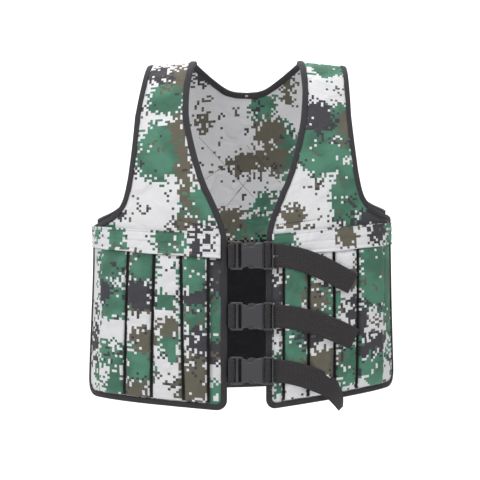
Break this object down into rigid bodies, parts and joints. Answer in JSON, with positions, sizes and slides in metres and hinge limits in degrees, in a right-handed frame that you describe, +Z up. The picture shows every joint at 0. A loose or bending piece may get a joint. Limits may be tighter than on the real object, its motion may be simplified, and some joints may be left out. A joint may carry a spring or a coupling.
{
  "type": "weighted vest",
  "caption": "Sleeveless weighted training vest in camouflage cloth with bound edges, upright weight pockets, front buckles with webbing and open sides with short straps.",
  "frame": {"origin": "midway between the two shoulder straps, at the height of their undersides where they rest on the shoulders", "axes": "+Z up, +X to the wearer's left, the front of the vest faces -Y"},
  "size_m": [0.5268, 0.2541, 0.5975],
  "materials": {
    "camo_cloth": "woven polyester, printed with a blocky camouflage in off-white, green, olive and dark grey",
    "binding_tape": "folded woven tape, matt charcoal",
    "webbing": "ribbed polypropylene webbing, matt black",
    "buckle_plastic": "moulded acetal, satin black"
  },
  "bodies": {
    "root": {"back_panel": "camo_cloth", "front_panel_left": "camo_cloth", "front_panel_right": "camo_cloth", "neck_binding": "binding_tape", "armhole_binding_left": "binding_tape", "armhole_binding_right": "binding_tape", "hem_binding_left": "binding_tape", "hem_binding_right": "binding_tape", "hem_binding_back": "binding_tape", "pocket_left_1": "camo_cloth", "pocket_left_2": "camo_cloth", "pocket_left_3": "camo_cloth", "pocket_left_4": "camo_cloth", "pocket_right_1": "camo_cloth", "pocket_right_2": "camo_cloth", "pocket_right_3": "camo_cloth", "pocket_right_4": "camo_cloth", "pocket_flap_left": "camo_cloth", "pocket_flap_right": "camo_cloth", "buckle_socket_1": "buckle_plastic", "buckle_socket_2": "buckle_plastic", "buckle_socket_3": "buckle_plastic", "buckle_plug_1": "buckle_plastic", "buckle_plug_2": "buckle_plastic", "buckle_plug_3": "buckle_plastic", "anchor_strap_1": "webbing", "anchor_strap_2": "webbing", "anchor_strap_3": "webbing", "adjuster_strap_1": "webbing", "adjuster_strap_2": "webbing", "adjuster_strap_3": "webbing", "side_strap_left_1": "webbing", "side_strap_left_2": "webbing", "side_strap_right_1": "webbing", "side_strap_right_2": "webbing"}
  },
  "joints": []
}
